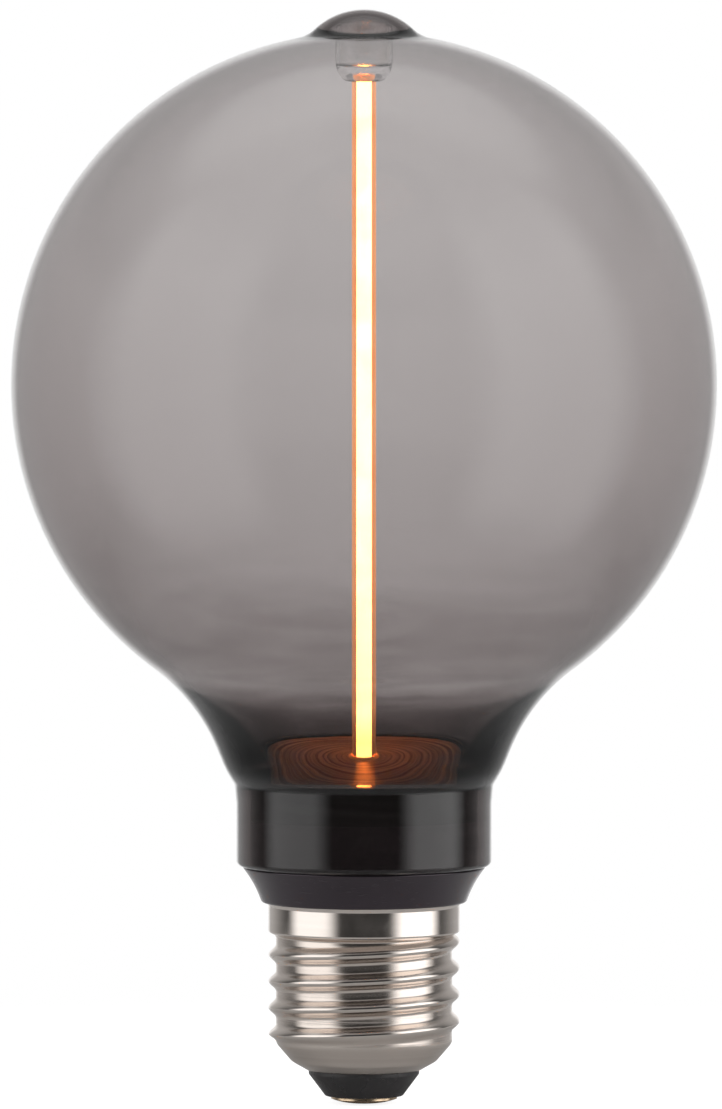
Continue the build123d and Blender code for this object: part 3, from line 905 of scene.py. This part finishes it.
def turned_disc():
    bore = tube_r + CLOSE_FIT
    edge = (disc_top - disc_z) * DISC_EDGE_SHARE
    outline = rounded([(bore, disc_z, 0), (disc_r, disc_z, 0), (disc_r, disc_top, edge), (bore, disc_top, 0)])
    piece = turned("turned_disc_face", dense(outline, GROOVE_PITCH / GROOVE_RINGS), closed=True)
    material = turned_metal()
    reshape(piece, turned_grooves(), {
        "Inner radius": (seat_r + GROOVE_MARGIN) * MM, "Outer radius": (disc_r - GROOVE_MARGIN) * MM,
        "Face level": disc_top * MM, "Finish": material,
    })
    smooth(piece, DISC_SHARP_TURN)
    finished(piece, "turned_disc", material)


def heat_sink_cup():
    well = RECESS_R - LEDGE_W
    floor = cup_z + CUP_FLOOR
    outline = rounded([
        (0.0, cup_z, 0), (cup_r, cup_z, 0), (cup_r, cup_top, CUP_EDGE_ROUND), (RECESS_R, cup_top, 0),
        (RECESS_R, disc_z, 0), (well, disc_z, 0), (well, floor, 0), (0.0, floor, 0),
    ])
    piece = turned("black_heat_sink", outline)
    middle = cup_z + CUP_FLOOR / 2
    drill(piece, [(PIN_WAY_R, 3 * CUP_FLOOR, (side * PIN_SPACING / 2, 0, middle), 0) for side in (-1, 1)])
    smooth(piece)
    finished(piece, "heat_sink_cup", black_metal())


def base_housing():
    bore = BOSS_R - HOUSING_WALL
    bell = cup_r - HOUSING_WALL
    bell_z = glass_foot
    low = Vector((SKIRT_LOW_R, shell_top))
    high = Vector((SKIRT_HIGH_R, skirt_top))
    chord = high - low
    inward = Vector((-chord.y, chord.x)).normalized()
    side = [
        low.lerp(high, share) + inward * SKIRT_HOLLOW * (1 - (2 * share - 1) ** 2)
        for share in (i / SKIRT_STEPS for i in range(1, SKIRT_STEPS))
    ]
    outline = rounded([
        (bore, boss_z, 0), (BOSS_R, boss_z, 0), (BOSS_R, shell_top, 0), (*low, SKIRT_LOW_ROUND),
        *[(*point, 0) for point in side],
        (*high, SKIRT_HIGH_ROUND), (cup_r, skirt_top, 0), (cup_r, cup_z, 0), (bell, cup_z, 0),
        (bell, bell_z, 0), (bore, bell_z - (bell - bore), 0),
    ])
    piece = turned("charcoal_housing", outline, closed=True)
    drill(piece, [(LEAD_WAY_R, 2 * HOUSING_WALL, (HOUSING_WALL / 2 - BOSS_R, 0, lead_z), pi / 2)])
    smooth(piece)
    finished(piece, "base_housing", charcoal_plastic())


def shell_wall(inset):
    """Outline of one face of the shell's sheet before the thread is rolled, from the hole up to the lip."""
    lip_z = shell_top - LIP_H
    band_z = lip_z - BAND_H
    return rounded([
        (SHELL_HOLE_R, shell_z + inset, 0),
        (SHELL_FLAT_R - inset / 2, shell_z + inset, SHELL_FLAT_ROUND - inset),
        (SHELL_HEEL_R - inset, shell_z + SHELL_HEEL_RISE + inset / 2, SHELL_HEEL_ROUND - inset),
        (ROOT_R - inset, shell_z + SHELL_CONE_RISE, SHELL_CONE_ROUND),
        (ROOT_R - inset, band_z - BAND_STEP, BAND_STEP_ROUND),
        (BAND_R - inset, band_z, BAND_STEP_ROUND),
        (BAND_R - inset, lip_z, LIP_ROUND),
        (lip_r - inset, shell_top, 0),
    ])


def screw_shell():
    outside = dense(shell_wall(0), SHELL_RING_GAP)
    inside = dense(shell_wall(SHEET), SHELL_RING_GAP)[::-1]
    piece = turned("nickel_screw_shell", outside + inside, closed=True, steps=THREAD_STEPS)
    inset = piece.data.attributes.new("inset", "FLOAT", "POINT")
    values = [0.0] * (len(outside) * THREAD_STEPS) + [SHEET * MM] * (len(inside) * THREAD_STEPS)
    inset.data.foreach_set("value", values)
    material = nickel_plate()
    reshape(piece, rolled_thread(), {
        "Start level": (shell_z + THREAD_START) * MM, "Cone top level": (shell_z + SHELL_CONE_RISE) * MM,
        "Finish": material,
    })
    smooth(piece, SHELL_SHARP_TURN)
    finished(piece, "screw_shell", material)


def cap_insulator():
    hole = SHANK_R + CLOSE_FIT
    flange_z = shell_z + SHEET
    outline = rounded([
        (hole, insulator_z, 0), (INSULATOR_TIP_R, insulator_z, INSULATOR_TIP_ROUND),
        (INSULATOR_TOP_R, shell_z - INSULATOR_EDGE_H, INSULATOR_EDGE_ROUND), (INSULATOR_TOP_R, shell_z, 0),
        (INSULATOR_NECK_R, shell_z, 0), (INSULATOR_NECK_R, flange_z, 0), (INSULATOR_FLANGE_R, flange_z, 0),
        (INSULATOR_FLANGE_R, insulator_top, 0), (hole, insulator_top, 0),
    ])
    piece = turned("black_cap_insulator", outline, closed=True)
    smooth(piece)
    finished(piece, "cap_insulator", black_insulator())


def centre_contact():
    plate_top = insulator_z
    edge_z = plate_top - CONTACT_EDGE_H
    run = contact_r - CONTACT_FLAT_R
    dome_r = (run**2 + edge_z**2) / (2 * edge_z)
    last = atan2(edge_z - dome_r, run)
    dome = arc((CONTACT_FLAT_R, dome_r), dome_r, -pi / 2, last, CONTACT_STEPS)
    outline = [(0.0, 0.0)] + dome + rounded([
        (contact_r, plate_top, CONTACT_ROUND), (SHANK_R, plate_top, 0), (SHANK_R, shank_top, SHANK_ROUND),
        (0.0, shank_top, 0),
    ])[1:]
    piece = turned("brass_centre_contact", outline, steps=SMALL_STEPS)
    smooth(piece)
    finished(piece, "centre_contact", contact_brass())


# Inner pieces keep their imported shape. Each finish has its nodes, dark and light colour, roughness, size and
# depth of its grain in metres, and for a metal its metallic value.
INNER = {
    "green_board": (
        ["driver_board"], (0.020, 0.10, 0.045, 1.0), (0.030, 0.14, 0.06, 1.0), 0.4, 0.0008, 0.00002
    ),
    "white_board": (["led_board"], (0.70, 0.69, 0.66, 1.0), (0.80, 0.79, 0.76, 1.0), 0.45, 0.0006, 0.00002),
    "phosphor": (["led_chip"], (0.80, 0.62, 0.12, 1.0), (0.90, 0.72, 0.20, 1.0), 0.6, 0.0002, 0.00002),
    "tinned_wire": (
        ["led_pins", "live_lead", "neutral_lead"], (0.62, 0.62, 0.63, 1.0), (0.74, 0.74, 0.74, 1.0),
        0.3, 0.0003, 0.00001, 1.0,
    ),
    "can_sleeve": (
        ["smoothing_capacitor"], (0.02, 0.025, 0.05, 1.0), (0.03, 0.035, 0.07, 1.0), 0.35, 0.0004, 0.00001
    ),
    "chip_resin": (
        ["driver_chip", "bridge_rectifier"], (0.014, 0.014, 0.015, 1.0), (0.024, 0.024, 0.025, 1.0),
        0.55, 0.0002, 0.00002,
    ),
    "resistor_coat": (
        ["fuse_resistor"], (0.30, 0.42, 0.48, 1.0), (0.38, 0.50, 0.56, 1.0), 0.4, 0.0003, 0.00002
    ),
    "ferrite": (
        ["choke_coil"], (0.035, 0.033, 0.032, 1.0), (0.06, 0.056, 0.054, 1.0), 0.65, 0.0003, 0.00003
    ),
}


def inner_pieces():
    for name, (nodes, *look) in INNER.items():
        material = grained(name, *look)
        for piece in nodes:
            for place in bpy.data.objects[piece].material_slots:
                place.material = material


# Studio

def directions(tree):
    """Turn about Z from the front, rise above the level and angle from straight behind."""
    way = node(tree, "ShaderNodeTexCoord").outputs["Generated"]
    parts = node(tree, "ShaderNodeSeparateXYZ", {0: way}).outputs
    turn = sums(tree, "ARCTAN2", parts[0], sums(tree, "MULTIPLY", parts[1], -1.0))
    rise = sums(tree, "ARCSINE", parts[2])
    back = sums(tree, "ARCCOSINE", parts[1])
    return [sums(tree, "DEGREES", angle) for angle in (turn, rise, back)]


def window(tree, value, low, high, soft):
    """1 between two angles and 0 outside them, with soft edges."""
    opened = ramp(tree, value, low - soft, low + soft)
    return sums(tree, "MULTIPLY", opened, ramp(tree, value, high - soft, high + soft, 1.0, 0.0))


def studio_world():
    """White to look at and through glass. What the surfaces mirror is a dark studio with lights in it."""
    world = bpy.data.worlds.new("studio")
    bpy.context.scene.world = world
    world.use_nodes = True
    tree = world.node_tree
    tree.nodes.clear()
    turn, rise, back = directions(tree)
    left = sums(tree, "MULTIPLY", window(tree, turn, *LEFT_BOX, BOX_SOFT), LEFT_BOX_LIGHT)
    right = sums(tree, "MULTIPLY", window(tree, turn, *RIGHT_BOX, BOX_SOFT), RIGHT_BOX_LIGHT)
    raised = sums(tree, "MULTIPLY", ramp(tree, rise, *BOX_FOOT), ramp(tree, rise, *BOX_HEAD, 1.0, 0.0))
    boxes = sums(tree, "MULTIPLY", sums(tree, "ADD", left, right), raised)
    card = ramp(tree, back, *CARD_EDGE, 1.0, CARD_RIM_LIGHT)
    card = sums(tree, "SUBTRACT", card, ramp(tree, back, *CARD_FADE, 0.0, CARD_FADE_LIGHT))
    dimmed = ramp(tree, back, *BAND_TURN, BAND_BACK_LIGHT, BAND_FRONT_LIGHT)
    band = sums(tree, "MULTIPLY", window(tree, rise, *BAND_RISES, BAND_SOFT), dimmed)
    aside = ramp(tree, sums(tree, "ABSOLUTE", turn), *GLOW_TURN, GLOW_FRONT_SHARE, 1.0)
    glow = sums(tree, "MULTIPLY", ramp(tree, rise, *GLOW_RISES, GLOW_LIGHT, 0.0), aside)
    mirrored = card
    for light in (boxes, band, glow):
        mirrored = sums(tree, "MAXIMUM", mirrored, light)
    path = node(tree, "ShaderNodeLightPath").outputs
    slope = sums(tree, "ABSOLUTE", rise)
    steep = ramp(tree, slope, *STEEP_RISES, 0.0, 1.0 - DIM_WHITE)
    white = sums(tree, "ADD", ramp(tree, slope, *WHITE_RISES, 1.0, DIM_WHITE), steep)
    through = sums(tree, "MULTIPLY", path["Is Transmission Ray"], white)
    strength = sums(tree, "MAXIMUM", sums(tree, "MAXIMUM", path["Is Camera Ray"], through), mirrored)
    light = node(tree, "ShaderNodeBackground", {"Color": tint(1.0), "Strength": strength})
    out = tree.nodes.new("ShaderNodeOutputWorld")
    tree.links.new(light.outputs[0], out.inputs["Surface"])


def pale_floor():
    """A pale patch of floor under the bulb, which fades into the white round it."""
    mesh = bpy.data.meshes.new("pale_floor")
    side = FLOOR_R * MM
    level = FLOOR_LEVEL * MM
    corners = [(-side, -side, level), (side, -side, level), (side, side, level), (-side, side, level)]
    mesh.from_pydata(corners, [], [(0, 1, 2, 3)])
    floor = bpy.data.objects.new("pale_floor", mesh)
    bpy.context.scene.collection.objects.link(floor)
    made, tree, shader = finish(
        "pale_floor", Base_Color=tint(FLOOR_GREY), Roughness=0.9, Specular_IOR_Level=0.0,
        Emission_Color=tint(1.0),
    )
    path = node(tree, "ShaderNodeLightPath").outputs
    seen = sums(tree, "MAXIMUM", path["Is Camera Ray"], path["Is Transmission Ray"])
    dress(tree, shader, Emission_Strength=sums(tree, "MULTIPLY", seen, FLOOR_GLOW))
    radius = round_axis(tree, object_place(tree))[0]
    there = ramp(tree, radius, FLOOR_FADE * side, side, 1.0, 0.0)
    clear = tree.nodes.new("ShaderNodeBsdfTransparent")
    mixed = node(tree, "ShaderNodeMixShader", {0: there, 1: clear.outputs[0], 2: shader.outputs[0]})
    tree.links.new(mixed.outputs[0], output(tree, "Surface"))
    mesh.materials.append(made)


def soft_lamp(name, place, size, power):
    lamp = bpy.data.lights.new(name, "AREA")
    lamp.shape = "RECTANGLE"
    lamp.size, lamp.size_y = size
    lamp.energy = power
    holder = bpy.data.objects.new(name, lamp)
    bpy.context.scene.collection.objects.link(holder)
    holder.location = place
    holder.rotation_euler = (Vector(LAMP_AIM) - Vector(place)).to_track_quat("-Z", "Y").to_euler()
    holder.visible_glossy = False
    holder.visible_transmission = False


def camera():
    view = bpy.data.cameras.new("photo_view")
    view.sensor_fit = "VERTICAL"
    view.sensor_height = SENSOR_H
    holder = bpy.data.objects.new("photo_view", view)
    bpy.context.scene.collection.objects.link(holder)
    across, up = PHOTO_MIDDLE
    place = Vector((across, -CAMERA_DISTANCE, CAMERA_HEIGHT)) * MM
    aim = Vector((across, 0.0, up)) * MM
    holder.location = place
    holder.rotation_euler = (aim - place).to_track_quat("-Z", "Y").to_euler()
    height = PHOTO_HEIGHT_PX * PHOTO_MM_PER_PX * MM
    view.lens = view.sensor_height * (aim - place).length / height
    view.clip_start = CLIP_START * MM
    bpy.context.scene.camera = holder


glass_globe()
tip_cup()
light_tube()
glow_core()
tube_seat()
turned_disc()
heat_sink_cup()
base_housing()
screw_shell()
cap_insulator()
centre_contact()
inner_pieces()

studio_world()
pale_floor()
for name, (place, size, power) in LAMPS.items():
    soft_lamp(name, place, size, power)
camera()
bpy.context.scene.view_settings.view_transform = "Standard"
